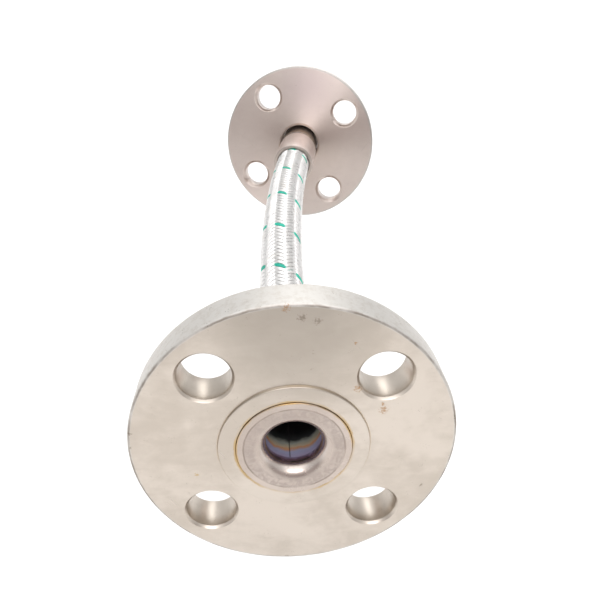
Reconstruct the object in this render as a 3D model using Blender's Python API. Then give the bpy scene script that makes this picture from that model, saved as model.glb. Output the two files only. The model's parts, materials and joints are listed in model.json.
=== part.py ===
"""Flexible metal hose assembly with a loose flange on each end.

Each end is a length of pipe with a flat lapped collar welded round its mouth. A flange hangs loose on
the pipe behind the collar, free to turn until its bolts are tightened. Behind the flange the pipe is
butt welded to a corrugated hose, and a ferrule clamps the wire braid that covers the hose.

The assembly lies as it does on a bench, on the rims of its two flanges, with the hose hanging free between
them. Each end is drawn in its own frame: the origin is the middle of the flange's gasket face and +Y
runs into the hose. The hose and its braid are one length each on the real thing. Here they are cut into
links with ball and socket ends, so that the hose can bend at four hinges.
"""

import math

import bmesh
import bpy
from mathutils import Matrix, Vector
from mathutils.geometry import interpolate_bezier

MM = 0.001
GAP = 0.3 * MM

# Flange, a flat ring with a low raised ring and a recess for the collar on its gasket face
FLANGE_RADIUS = 47.5 * MM
FLANGE_THICKNESS = 12 * MM
RIM_CHAMFER = 0.8 * MM
BOLT_CIRCLE_RADIUS = 35 * MM
BOLT_HOLE_RADIUS = 7.5 * MM
BOLT_HOLE_CHAMFER = 0.6 * MM
BOLT_HOLES = 4
RAISED_RING_RADIUS = 22.2 * MM
RAISED_RING_HEIGHT = 0.8 * MM
RECESS_RADIUS = 17.2 * MM
RECESS_DEPTH = 2.1 * MM
FLANGE_BORE_RADIUS = 12.4 * MM
FLANGE_BORE_CHAMFER = 1.4 * MM

# Pipe and the collar that the flange pulls against its mate
PIPE_RADIUS = 10.85 * MM
PIPE_BORE_RADIUS = 8.75 * MM
PIPE_LIP = 1.6 * MM
PIPE_END = 24 * MM
COLLAR_RADIUS = 16.8 * MM
COLLAR_THICKNESS = 3 * MM
COLLAR_EDGE = 0.7 * MM
COLLAR_PROUD = 0.4 * MM
COLLAR_WELD_LEG = 1 * MM

# Weld between pipe and hose, and the ferrule that holds the end of the braid
HOSE_WELD_LENGTH = 3 * MM
HOSE_WELD_CROWN = 0.35 * MM
FERRULE_RADIUS = 11.5 * MM
FERRULE_EDGE = 0.6 * MM
FERRULE_MOUTH = 56 * MM

# Corrugated hose and braid
BRAID_RADIUS = 9.4 * MM
BRAID_THICKNESS = 0.7 * MM
HOSE_CREST_RADIUS = BRAID_RADIUS - BRAID_THICKNESS - GAP
HOSE_ROOT_RADIUS = 7.5 * MM
HOSE_WALL = 0.9 * MM
HOSE_PITCH = 10.5 * MM
LINKS = 5
BALL_RADIUS = 12 * MM

# How the assembly lies: how each axis is turned about Z and how it is tipped up or down
NEAR_FACE_X = -9.05 * MM
NEAR_FACE_Y = -140.42 * MM
FAR_FACE_X = 9.75 * MM
FAR_FACE_Y = 132.38 * MM
NEAR_TURN = 0
NEAR_TIP = math.radians(-4.5)
NEAR_HOLES_TURN = math.radians(-1.9)
FAR_FLANGE_TURN = math.radians(170.5)
FAR_FLANGE_TIP = math.radians(11)
FAR_HOLES_TURN = math.radians(9.4)
FAR_STUB_TURN = math.radians(171.2)
FAR_STUB_TIP = math.radians(2.6)
FAR_STUB_LOOSE = 5.4 * MM

# The hose between the ferrules: a point in its middle, its direction there and the pull of each bend
MIDDLE_X = -8.05 * MM
MIDDLE_Y = -10.5 * MM
MIDDLE_BELOW_NEAR_FACE = 0.7 * MM
MIDDLE_DIRECTION = Vector((0.05, 1, 0.084)).normalized()
NEAR_PULL = 33 * MM
MIDDLE_PULL = 33 * MM
FAR_PULL = 30 * MM

FLANGE_SIDES = 56
ROUND_SIDES = 32
BRAID_SIDES = 24
HOSE_SIDES = 16
BRAID_STATION = 9 * MM
SMOOTH_ANGLE = math.radians(35)

STAINLESS = (0.62, 0.59, 0.55, 1)
PICKLED = (0.56, 0.53, 0.50, 1)
BRIGHT_WIRE = (0.78, 0.77, 0.76, 1)
WELD_METAL = (0.48, 0.46, 0.46, 1)


def clear_scene():
    for old in list(bpy.data.objects):
        bpy.data.objects.remove(old)


def metal(name, colour, roughness):
    material = bpy.data.materials.new(name)
    material.use_nodes = True
    shader = material.node_tree.nodes["Principled BSDF"]
    shader.inputs["Base Color"].default_value = colour
    shader.inputs["Roughness"].default_value = roughness
    shader.inputs["Metallic"].default_value = 1
    return material


def resting_height(tip):
    """Height of a gasket face's middle when the flange, tipped this far, stands on its rim."""
    flat_radius = FLANGE_RADIUS * math.cos(math.pi / FLANGE_SIDES)
    if tip < 0:
        lowest_edge = FLANGE_THICKNESS - RIM_CHAMFER
    else:
        lowest_edge = RIM_CHAMFER
    return flat_radius * math.cos(tip) - lowest_edge * math.sin(tip)


def end_frame(x, y, z, turn, tip):
    place = Matrix.Translation(Vector((x, y, z)))
    return place @ Matrix.Rotation(turn, 4, "Z") @ Matrix.Rotation(tip, 4, "X")


def collar_back():
    """Where the back of the collar lies along the pipe, counted from the flange's gasket face."""
    return COLLAR_THICKNESS - RAISED_RING_HEIGHT - COLLAR_PROUD


NEAR_HEIGHT = resting_height(NEAR_TIP)
NEAR_FRAME = end_frame(NEAR_FACE_X, NEAR_FACE_Y, NEAR_HEIGHT, NEAR_TURN, NEAR_TIP)
FAR_FLANGE_FRAME = end_frame(
    FAR_FACE_X, FAR_FACE_Y, resting_height(FAR_FLANGE_TIP), FAR_FLANGE_TURN, FAR_FLANGE_TIP
)
# The far pipe leans in its flange, so its axis crosses the flange's axis halfway through the bore
FAR_CROSSING = FAR_FLANGE_FRAME @ Vector((0, FLANGE_THICKNESS / 2, 0))
FAR_STUB_FRAME = (
    end_frame(*FAR_CROSSING, FAR_STUB_TURN, FAR_STUB_TIP)
    @ Matrix.Translation(Vector((0, -FLANGE_THICKNESS / 2 - FAR_STUB_LOOSE, 0)))
)


def finish(name, form, material, frame):
    """Turn a bmesh into a named object standing at its place."""
    bmesh.ops.recalc_face_normals(form, faces=form.faces)
    mesh = bpy.data.meshes.new(name)
    form.to_mesh(mesh)
    form.free()
    mesh.materials.append(material)
    mesh.shade_smooth()
    mesh.set_sharp_from_angle(angle=SMOOTH_ANGLE)
    piece = bpy.data.objects.new(name, mesh)
    piece.matrix_world = frame
    bpy.context.scene.collection.objects.link(piece)
    return piece


def spin_profile(form, outline, sides, middle=(0, 0)):
    """Spin a closed outline of (radius, along) points about a line parallel to Y.

    The first point is half a side away from the bottom, so the form rests on a flat.
    """
    start = math.pi / sides
    across = Vector((math.sin(start), 0, -math.cos(start)))
    centre = Vector((middle[0], 0, middle[1]))
    points = [form.verts.new(centre + across * radius + Vector((0, along, 0))) for radius, along in outline]
    edges = [form.edges.new((points[i - 1], points[i])) for i in range(len(points))]
    bmesh.ops.spin(
        form, geom=points + edges, cent=centre, axis=(0, 1, 0), angle=2 * math.pi, steps=sides, use_merge=True
    )
    bmesh.ops.remove_doubles(form, verts=form.verts, dist=0.001 * MM)


def turned(name, outline, sides, material, frame):
    form = bmesh.new()
    spin_profile(form, outline, sides)
    return finish(name, form, material, frame)


def quarter_round(centre_radius, centre_along, size, first, last, steps=3):
    """Points of an arc in an outline, from one angle to another, in degrees."""
    arc = []
    for step in range(steps + 1):
        angle = math.radians(first + (last - first) * step / steps)
        arc.append((centre_radius + size * math.cos(angle), centre_along + size * math.sin(angle)))
    return arc


def flange(name, holes_turn, material, frame):
    outline = [
        (FLANGE_RADIUS - RIM_CHAMFER, 0),
        (FLANGE_RADIUS, RIM_CHAMFER),
        (FLANGE_RADIUS, FLANGE_THICKNESS - RIM_CHAMFER),
        (FLANGE_RADIUS - RIM_CHAMFER, FLANGE_THICKNESS),
        (FLANGE_BORE_RADIUS + FLANGE_BORE_CHAMFER / 2, FLANGE_THICKNESS),
        (FLANGE_BORE_RADIUS, FLANGE_THICKNESS - FLANGE_BORE_CHAMFER / 2),
        (FLANGE_BORE_RADIUS, RECESS_DEPTH + FLANGE_BORE_CHAMFER),
        (FLANGE_BORE_RADIUS + FLANGE_BORE_CHAMFER, RECESS_DEPTH),
        (RECESS_RADIUS, RECESS_DEPTH),
        (RECESS_RADIUS, -RAISED_RING_HEIGHT),
        (RAISED_RING_RADIUS - RAISED_RING_HEIGHT / 4, -RAISED_RING_HEIGHT),
        (RAISED_RING_RADIUS, 0),
    ]
    body = turned(name, outline, FLANGE_SIDES, material, frame)
    cutter = bolt_hole_cutter(name + "_drill", holes_turn, material, frame)
    drilling = body.modifiers.new("bolt_holes", "BOOLEAN")
    drilling.operation = "DIFFERENCE"
    drilling.solver = "EXACT"
    drilling.object = cutter
    return body


def bolt_hole_cutter(name, holes_turn, material, frame):
    """Four drills with a flare at each face, which leaves the chamfers of the bolt holes."""
    overrun = 1 * MM
    flare = BOLT_HOLE_RADIUS + BOLT_HOLE_CHAMFER
    outline = [
        (0, -overrun),
        (flare + overrun, -overrun),
        (BOLT_HOLE_RADIUS, BOLT_HOLE_CHAMFER),
        (BOLT_HOLE_RADIUS, FLANGE_THICKNESS - BOLT_HOLE_CHAMFER),
        (flare + overrun, FLANGE_THICKNESS + overrun),
        (0, FLANGE_THICKNESS + overrun),
    ]
    form = bmesh.new()
    for hole in range(BOLT_HOLES):
        angle = holes_turn + 2 * math.pi * (hole + 0.5) / BOLT_HOLES
        middle = (BOLT_CIRCLE_RADIUS * math.cos(angle), BOLT_CIRCLE_RADIUS * math.sin(angle))
        spin_profile(form, outline, ROUND_SIDES, middle)
    cutter = finish(name, form, material, frame)
    cutter.hide_render = True
    cutter.display_type = "WIRE"
    return cutter


def lap_collar(name, material, frame):
    """Flat ring round the pipe's mouth, rounded at its outer edge."""
    back = collar_back()
    front = back - COLLAR_THICKNESS
    inner = PIPE_RADIUS + GAP
    outline = [(inner, front), *quarter_round(COLLAR_RADIUS - COLLAR_EDGE, front + COLLAR_EDGE, COLLAR_EDGE, -90, 0)]
    outline += [(COLLAR_RADIUS, back - COLLAR_EDGE / 2), (COLLAR_RADIUS - COLLAR_EDGE / 2, back), (inner, back)]
    return turned(name, outline, ROUND_SIDES + 16, material, frame)


def collar_weld(name, material, frame):
    """Fillet that joins the back of the collar to the pipe, inside the flange's chamfered bore."""
    inner = PIPE_RADIUS + GAP
    back = collar_back() + GAP
    outline = [(inner, back), (inner + COLLAR_WELD_LEG, back)]
    outline += [(inner + 0.6 * COLLAR_WELD_LEG, back + 0.6 * COLLAR_WELD_LEG), (inner, back + COLLAR_WELD_LEG)]
    return turned(name, outline, ROUND_SIDES, material, frame)


def pipe(name, material, frame):
    """Pipe from the rounded lip at the collar's face to the weld at the hose."""
    lip_start = collar_back() - COLLAR_THICKNESS
    outline = quarter_round(PIPE_BORE_RADIUS + PIPE_LIP, lip_start + PIPE_LIP, PIPE_LIP, -180, -90)
    outline += [(PIPE_RADIUS, lip_start), (PIPE_RADIUS, PIPE_END), (PIPE_BORE_RADIUS, PIPE_END)]
    return turned(name, outline, ROUND_SIDES, material, frame)


def hose_weld(name, material, frame):
    """Ring of weld metal between the pipe's end and the ends of the hose, braid and ferrule."""
    start = PIPE_END + GAP
    end = start + HOSE_WELD_LENGTH
    inner = HOSE_CREST_RADIUS - HOSE_WALL
    outline = [
        (inner, start),
        (PIPE_RADIUS, start),
        (FERRULE_RADIUS - HOSE_WELD_CROWN / 2, (start + end) / 2),
        (FERRULE_RADIUS - HOSE_WELD_CROWN, end),
        (inner, end),
    ]
    return turned(name, outline, ROUND_SIDES, material, frame)


def ferrule(name, material, frame):
    """Plain sleeve that is pressed down over the end of the braid."""
    start = PIPE_END + HOSE_WELD_LENGTH + 2 * GAP
    inner = BRAID_RADIUS + GAP
    outline = [
        (inner, start),
        (FERRULE_RADIUS - FERRULE_EDGE, start),
        (FERRULE_RADIUS, start + FERRULE_EDGE),
        *quarter_round(FERRULE_RADIUS - FERRULE_EDGE, FERRULE_MOUTH - FERRULE_EDGE, FERRULE_EDGE, 0, 90),
        (inner, FERRULE_MOUTH),
    ]
    return turned(name, outline, ROUND_SIDES, material, frame)


def hose_route():
    """Points close together down the middle of the hose, from its near weld to its far weld."""
    weld_end = PIPE_END + HOSE_WELD_LENGTH + 2 * GAP
    near_mouth = NEAR_FRAME @ Vector((0, FERRULE_MOUTH, 0))
    far_mouth = FAR_STUB_FRAME @ Vector((0, FERRULE_MOUTH, 0))
    middle = Vector((MIDDLE_X, MIDDLE_Y, NEAR_HEIGHT - MIDDLE_BELOW_NEAR_FACE))
    slope = MIDDLE_DIRECTION * MIDDLE_PULL
    near_pull = NEAR_FRAME @ Vector((0, FERRULE_MOUTH + NEAR_PULL, 0))
    far_pull = FAR_STUB_FRAME @ Vector((0, FERRULE_MOUTH + FAR_PULL, 0))
    points = [NEAR_FRAME @ Vector((0, weld_end, 0))]
    points += interpolate_bezier(near_mouth, near_pull, middle - slope, middle, 60)
    points += interpolate_bezier(middle, middle + slope, far_pull, far_mouth, 60)[1:]
    points.append(FAR_STUB_FRAME @ Vector((0, weld_end, 0)))
    return points


class Route:
    """A line through points, read by the distance along it."""

    def __init__(self, points):
        self.points = points
        self.distances = [0.0]
        for before, after in zip(points, points[1:]):
            self.distances.append(self.distances[-1] + (after - before).length)
        self.length = self.distances[-1]

    def point(self, distance):
        last = len(self.points) - 1
        index = 1
        while index < last and self.distances[index] < distance:
            index += 1
        run = self.distances[index] - self.distances[index - 1]
        share = (distance - self.distances[index - 1]) / run
        return self.points[index - 1].lerp(self.points[index], share)

    def across(self, distance, angle):
        """Unit vector square to the route, at an angle round it counted from the side."""
        step = 1 * MM
        along = (self.point(distance + step) - self.point(distance - step)).normalized()
        side = along.cross(Vector((0, 0, 1))).normalized()
        upward = side.cross(along)
        return side * math.cos(angle) + upward * math.sin(angle)

    def ball_crossing(self, angle, radius, hinge, ball):
        """Distance past a hinge where a line along the hose's skin meets a ball round that hinge."""
        middle = self.point(hinge)
        low, high = hinge, hinge + ball
        for _ in range(24):
            guess = (low + high) / 2
            skin = self.point(guess) + self.across(guess, angle) * radius
            if (skin - middle).length < ball:
                low = guess
            else:
                high = guess
        return low


ROUTE = Route(hose_route())
FREE_START = FERRULE_MOUTH - (PIPE_END + HOSE_WELD_LENGTH + 2 * GAP)
FREE_LENGTH = ROUTE.length - 2 * FREE_START
HINGES = [FREE_START + FREE_LENGTH * (2 * hinge + 1) / (2 * (LINKS - 1)) for hinge in range(LINKS - 1)]


def link_span(link, angle, radius):
    """Where a link of the hose or braid starts and ends along the route, on one line of its skin."""
    start, end = 0.0, ROUTE.length
    if link > 0:
        start = ROUTE.ball_crossing(angle, radius, HINGES[link - 1], BALL_RADIUS + GAP)
    if link < LINKS - 1:
        end = ROUTE.ball_crossing(angle, radius, HINGES[link], BALL_RADIUS)
    return start, end


def link_tube(name, link, outline, sides, material):
    """Turn an outline of (radius, share of the link's length), then lay it along the hose's route."""
    form = bmesh.new()
    spin_profile(form, outline, sides)
    for corner in form.verts:
        radius = math.hypot(corner.co.x, corner.co.z)
        angle = math.atan2(corner.co.z, corner.co.x)
        start, end = link_span(link, angle, radius)
        distance = start + (end - start) * corner.co.y
        corner.co = ROUTE.point(distance) + ROUTE.across(distance, angle) * radius
    return finish(name, form, material, Matrix.Identity(4))


def link_length(link):
    start, end = link_span(link, 0, 0)
    return end - start


def braid_link(link, material):
    """Woven wire cover, drawn as a thin smooth tube."""
    stations = max(3, round(link_length(link) / BRAID_STATION))
    shares = [station / stations for station in range(stations + 1)]
    inner = BRAID_RADIUS - BRAID_THICKNESS
    outline = [(BRAID_RADIUS, share) for share in shares] + [(inner, share) for share in reversed(shares)]
    return link_tube(f"braid_link_{link + 1}", link, outline, BRAID_SIDES, material)


def hose_link(link, material):
    """Corrugated hose wall, with crests and roots in turn."""
    folds = max(2, round(link_length(link) / HOSE_PITCH))
    shares = [half / (2 * folds) for half in range(2 * folds + 1)]
    radii = [HOSE_CREST_RADIUS if half % 2 == 0 else HOSE_ROOT_RADIUS for half in range(2 * folds + 1)]
    outer = list(zip(radii, shares))
    inner = [(radius - HOSE_WALL, share) for radius, share in reversed(outer)]
    return link_tube(f"hose_link_{link + 1}", link, outer + inner, HOSE_SIDES, material)


def build():
    clear_scene()
    flange_steel = metal("flange_steel", STAINLESS, 0.38)
    collar_steel = metal("collar_steel", STAINLESS, 0.3)
    pipe_steel = metal("pipe_steel", PICKLED, 0.35)
    ferrule_steel = metal("ferrule_steel", PICKLED, 0.32)
    weld_metal = metal("weld_metal", WELD_METAL, 0.45)
    hose_steel = metal("hose_steel", BRIGHT_WIRE, 0.3)
    braid_wire = metal("braid_wire", BRIGHT_WIRE, 0.25)
    flange("near_flange", NEAR_HOLES_TURN, flange_steel, NEAR_FRAME)
    flange("far_flange", FAR_HOLES_TURN, flange_steel, FAR_FLANGE_FRAME)
    for end, frame in (("near", NEAR_FRAME), ("far", FAR_STUB_FRAME)):
        lap_collar(end + "_lap_collar", collar_steel, frame)
        collar_weld(end + "_collar_weld", weld_metal, frame)
        pipe(end + "_pipe", pipe_steel, frame)
        hose_weld(end + "_hose_weld", weld_metal, frame)
        ferrule(end + "_ferrule", ferrule_steel, frame)
    for link in range(LINKS):
        hose_link(link, hose_steel)
        braid_link(link, braid_wire)


build()
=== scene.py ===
# A braided metal hose with a loose flange at each end, welded up from stainless pipe, hose and wire braid.
import json
import math

import bpy
from mathutils import Euler, Matrix, Vector
from mathutils.geometry import interpolate_bezier


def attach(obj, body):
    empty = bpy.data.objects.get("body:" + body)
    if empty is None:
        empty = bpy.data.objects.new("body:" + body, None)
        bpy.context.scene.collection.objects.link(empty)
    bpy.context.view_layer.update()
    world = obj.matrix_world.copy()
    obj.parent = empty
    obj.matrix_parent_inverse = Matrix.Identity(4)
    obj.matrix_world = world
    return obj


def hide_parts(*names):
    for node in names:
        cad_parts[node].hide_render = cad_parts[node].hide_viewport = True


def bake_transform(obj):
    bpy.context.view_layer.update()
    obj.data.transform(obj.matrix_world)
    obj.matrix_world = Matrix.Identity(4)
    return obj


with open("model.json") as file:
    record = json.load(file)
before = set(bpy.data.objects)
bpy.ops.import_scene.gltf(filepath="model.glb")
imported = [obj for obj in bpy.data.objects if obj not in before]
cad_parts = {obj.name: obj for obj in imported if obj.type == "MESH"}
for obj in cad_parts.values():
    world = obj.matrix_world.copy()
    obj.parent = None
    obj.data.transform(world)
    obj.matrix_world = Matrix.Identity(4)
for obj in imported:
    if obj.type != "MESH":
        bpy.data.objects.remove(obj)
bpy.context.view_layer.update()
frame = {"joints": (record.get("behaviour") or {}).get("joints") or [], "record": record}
MM = 0.001

# ---------------------------------------------------------------------------------------------------------
# Two lap-joint flanges, turned from stainless bar and drilled with four holes, with a low raised ring and a
# recess for the collar on the gasket side. Nothing fixes a flange to its pipe: it turns freely, and the
# collar stops it from coming off.
FLANGE_RADIUS = 47.5 * MM
FLANGE_THICKNESS = 12 * MM
RIM_CHAMFER = 0.8 * MM
NUT_SIDE_ROUND = 1.5 * MM
RING_RADIUS = 22.2 * MM
RING_HEIGHT = 0.8 * MM
RECESS_RADIUS = 16.85 * MM
RECESS_DEPTH = 2.1 * MM
FLANGE_BORE = 12.0 * MM
BORE_CHAMFER = 1.4 * MM
BOLT_CIRCLE = 35 * MM
BOLT_HOLE = 7.5 * MM
BOLT_CHAMFER = 0.75 * MM
NUT_SIDE_CHAMFER = 1.5 * MM
BROKEN_EDGE = 0.15 * MM
FLANGE_SIDES = 224
DRILL_SIDES = 80
DRILL_OVERRUN = 1 * MM
NEAR_HOLES_TURN = math.radians(1.9)
FAR_HOLES_TURN = math.radians(-9.4)

# Each end of the hose has its own place on the bench: +Z runs along its axis into the hose, +Y is as near
# to up as it goes, and the origin is the middle of the gasket face. The places come from the packed
# joints and mounts, and pieces are turned at the origin before they are set there.
joints = {joint["name"]: joint for joint in frame["joints"]}
mounts = {mount["name"]: mount for mount in frame["record"]["mounts"]}
COLLAR_THICKNESS = 3 * MM
COLLAR_FRONT = -1.2 * MM
GASKET_MOUNT_RADIUS = 13.5 * MM


def bench_place(middle, axis):
    along = Vector(axis).normalized()
    side = Vector((0, 0, 1)).cross(along).normalized()
    upward = along.cross(side)
    turned = Matrix((side, upward, along)).transposed()
    return Matrix.Translation(Vector(middle)) @ turned.to_4x4()


near_turn = joints["near_flange_turn"]
far_turn = joints["far_flange_turn"]
far_gasket = mounts["far_gasket_face"]
far_axis = -Vector(far_gasket["axis"]).normalized()
far_upward = far_axis.cross(Vector((0, 0, 1)).cross(far_axis).normalized())
far_collar_middle = Vector(far_gasket["pos_m"]) - far_upward * GASKET_MOUNT_RADIUS
NEAR_PLACE = bench_place(near_turn["pos_m"], near_turn["axis"])
FAR_FLANGE_PLACE = bench_place(far_turn["pos_m"], far_turn["axis"])
FAR_STUB_PLACE = bench_place(far_collar_middle - far_axis * COLLAR_FRONT, far_axis)


def lathe(outline, sides):
    """Turn a closed outline of (radius, height) points about Z."""
    bpy.ops.object.select_all(action="DESELECT")
    bpy.ops.mesh.primitive_circle_add(vertices=len(outline), radius=10 * MM)
    blank = bpy.context.object
    for corner, (radius, height) in zip(blank.data.vertices, outline):
        corner.co = (radius, 0, height)
    bpy.ops.object.mode_set(mode="EDIT")
    bpy.ops.mesh.select_all(action="SELECT")
    bpy.ops.mesh.spin(steps=sides, angle=2 * math.pi, center=(0, 0, 0), axis=(0, 0, 1))
    bpy.ops.mesh.select_all(action="SELECT")
    bpy.ops.mesh.remove_doubles(threshold=0.0005 * MM)
    bpy.ops.mesh.normals_make_consistent(inside=False)
    bpy.ops.object.mode_set(mode="OBJECT")
    return blank


def use_modifier(piece, kind, **settings):
    """Add a modifier, set it and apply it."""
    bpy.context.view_layer.objects.active = piece
    added = piece.modifiers.new(kind.lower(), kind)
    for setting, value in settings.items():
        setattr(added, setting, value)
    bpy.ops.object.modifier_apply(modifier=added.name)


def smooth(piece, degrees=32):
    bpy.ops.object.select_all(action="DESELECT")
    piece.select_set(True)
    bpy.context.view_layer.objects.active = piece
    bpy.ops.object.shade_smooth_by_angle(angle=math.radians(degrees))


def arc(centre_radius, centre_height, size, first, last, steps):
    """Outline points round part of a circle, from one angle in degrees to another."""
    points = []
    for step in range(steps + 1):
        angle = math.radians(first + (last - first) * step / steps)
        points.append((centre_radius + size * math.cos(angle), centre_height + size * math.sin(angle)))
    return points


def set_down(piece, name, place, body, stands_for):
    """Put a finished piece in its place, with the place in its mesh, and let it move with its body."""
    piece.name = name
    piece.data.name = name
    piece.data.transform(place)
    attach(piece, body)
    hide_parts(stands_for)


def turn_flange(holes_turn):
    outline = [
        (FLANGE_RADIUS - RIM_CHAMFER, 0),
        *arc(FLANGE_RADIUS - RIM_CHAMFER, RIM_CHAMFER, RIM_CHAMFER, -60, -15, 3),
        (FLANGE_RADIUS, RIM_CHAMFER),
        *arc(FLANGE_RADIUS - NUT_SIDE_ROUND, FLANGE_THICKNESS - NUT_SIDE_ROUND, NUT_SIDE_ROUND, 0, 90, 8),
        (FLANGE_BORE + BORE_CHAMFER / 2, FLANGE_THICKNESS),
        (FLANGE_BORE, FLANGE_THICKNESS - BORE_CHAMFER / 2),
        (FLANGE_BORE, RECESS_DEPTH + BORE_CHAMFER),
        (FLANGE_BORE + BORE_CHAMFER, RECESS_DEPTH),
        (RECESS_RADIUS - BROKEN_EDGE, RECESS_DEPTH),
        (RECESS_RADIUS, RECESS_DEPTH - BROKEN_EDGE),
        (RECESS_RADIUS, BROKEN_EDGE - RING_HEIGHT),
        (RECESS_RADIUS + BROKEN_EDGE, -RING_HEIGHT),
        *arc(RING_RADIUS - 0.5 * MM, 0.3 * MM - RING_HEIGHT, 0.3 * MM, -90, 0, 3),
        (RING_RADIUS, 0),
    ]
    disc = lathe(outline, FLANGE_SIDES)
    for hole in range(4):
        angle = holes_turn + math.pi * (hole + 0.5) / 2
        drill_hole(disc, BOLT_CIRCLE * math.cos(angle), BOLT_CIRCLE * math.sin(angle))
    smooth(disc)
    return disc


def drill_hole(disc, x, y):
    mouth = BOLT_HOLE + BOLT_CHAMFER + DRILL_OVERRUN
    nut_mouth = BOLT_HOLE + NUT_SIDE_CHAMFER + DRILL_OVERRUN
    drill = lathe(
        [
            (0, -DRILL_OVERRUN),
            (mouth, -DRILL_OVERRUN),
            (BOLT_HOLE + 0.12 * MM, BOLT_CHAMFER - 0.12 * MM),
            (BOLT_HOLE, BOLT_CHAMFER + 0.16 * MM),
            (BOLT_HOLE, FLANGE_THICKNESS - NUT_SIDE_CHAMFER - 0.16 * MM),
            (BOLT_HOLE + 0.12 * MM, FLANGE_THICKNESS - NUT_SIDE_CHAMFER + 0.12 * MM),
            (nut_mouth, FLANGE_THICKNESS + DRILL_OVERRUN),
            (0, FLANGE_THICKNESS + DRILL_OVERRUN),
        ],
        DRILL_SIDES,
    )
    drill.data.transform(Matrix.Translation((x, y, 0)))
    use_modifier(disc, "BOOLEAN", operation="DIFFERENCE", solver="EXACT", object=drill)
    bpy.data.objects.remove(drill)


near_flange = turn_flange(NEAR_HOLES_TURN)
set_down(
    near_flange, "near_flange_turned", NEAR_PLACE, "near_loose_flange", "near_flange"
)
far_flange = turn_flange(FAR_HOLES_TURN)
set_down(
    far_flange, "far_flange_turned", FAR_FLANGE_PLACE, "far_loose_flange", "far_flange"
)


# Node helpers and the shared effects of turned and ground steel come here, with the first steel that uses
# them. Every effect reads the place of a point on the bench of its own end.
def add_node(tree, kind, inputs=None, **settings):
    made = tree.nodes.new(kind)
    for setting, value in settings.items():
        setattr(made, setting, value)
    for socket, value in (inputs or {}).items():
        if isinstance(value, bpy.types.NodeSocket):
            tree.links.new(value, made.inputs[socket])
        else:
            made.inputs[socket].default_value = value
    return made


def calculate(tree, operation, *values, clamp=False):
    inputs = dict(enumerate(values))
    return add_node(tree, "ShaderNodeMath", inputs, operation=operation, use_clamp=clamp).outputs[0]


def rescale(tree, value, low, high, to_low=0.0, to_high=1.0):
    inputs = {"Value": value, "From Min": low, "From Max": high, "To Min": to_low, "To Max": to_high}
    return add_node(tree, "ShaderNodeMapRange", inputs, interpolation_type="SMOOTHSTEP").outputs[0]


def noise_of(tree, place, scale, detail=3.0, roughness=0.5, distortion=0.0):
    inputs = {"Vector": place, "Scale": scale, "Detail": detail}
    inputs.update({"Roughness": roughness, "Distortion": distortion})
    return add_node(tree, "ShaderNodeTexNoise", inputs).outputs["Fac"]


def mix_colours(tree, share, first, second):
    inputs = {"Factor": share, "A": first, "B": second}
    made = tree.nodes.new("ShaderNodeMix")
    made.data_type = "RGBA"
    for socket in made.inputs:
        if socket.type == "RGBA" or socket.identifier == "Factor_Float":
            value = inputs[socket.name]
            if isinstance(value, bpy.types.NodeSocket):
                tree.links.new(value, socket)
            else:
                socket.default_value = value
    return [socket for socket in made.outputs if socket.type == "RGBA"][0]


def new_effect(name, inputs, outputs):
    """A shared effect: a node group with named inputs and outputs."""
    group = bpy.data.node_groups.new(name, "ShaderNodeTree")
    for label, kind, value in inputs:
        socket = group.interface.new_socket(label, in_out="INPUT", socket_type="NodeSocket" + kind)
        if value is not None:
            socket.default_value = value
    for label, kind in outputs:
        group.interface.new_socket(label, in_out="OUTPUT", socket_type="NodeSocket" + kind)
    return group, group.nodes.new("NodeGroupInput").outputs, group.nodes.new("NodeGroupOutput").inputs


def use_effect(tree, group, **inputs):
    made = tree.nodes.new("ShaderNodeGroup")
    made.node_tree = group
    for label, value in inputs.items():
        socket = made.inputs[label.replace("_", " ").capitalize()]
        if isinstance(value, bpy.types.NodeSocket):
            tree.links.new(value, socket)
        else:
            socket.default_value = value
    return made.outputs


def distance_from_axis(tree, place):
    flat = add_node(tree, "ShaderNodeVectorMath", {0: place, 1: (1, 1, 0)}, operation="MULTIPLY").outputs[0]
    return add_node(tree, "ShaderNodeVectorMath", {0: flat}, operation="LENGTH").outputs["Value"]


def distance_between(tree, place, other):
    made = add_node(tree, "ShaderNodeVectorMath", {0: place, 1: other}, operation="DISTANCE")
    return made.outputs["Value"]


def make_lathe_marks():
    """Fine rings left by the tool, strong in some places and rubbed away in others."""
    group, given, out = new_effect(
        "lathe_marks", [("Place", "Vector", None), ("Pitch", "Float", 0.0004)], [("Height", "Float")]
    )
    radius = distance_from_axis(group, given["Place"])
    waver = noise_of(group, given["Place"], 60.0, 2.0)
    shifted = calculate(group, "MULTIPLY_ADD", waver, 0.0003, radius)
    turns = calculate(group, "DIVIDE", shifted, given["Pitch"])
    rings = add_node(
        group, "ShaderNodeTexNoise", {"W": turns, "Scale": 1.0, "Detail": 3.0}, noise_dimensions="1D"
    ).outputs["Fac"]
    kept = rescale(group, noise_of(group, given["Place"], 45.0, 3.0), 0.35, 0.65, 0.25, 1.0)
    group.links.new(calculate(group, "MULTIPLY", rings, kept), out["Height"])
    return group


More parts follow.
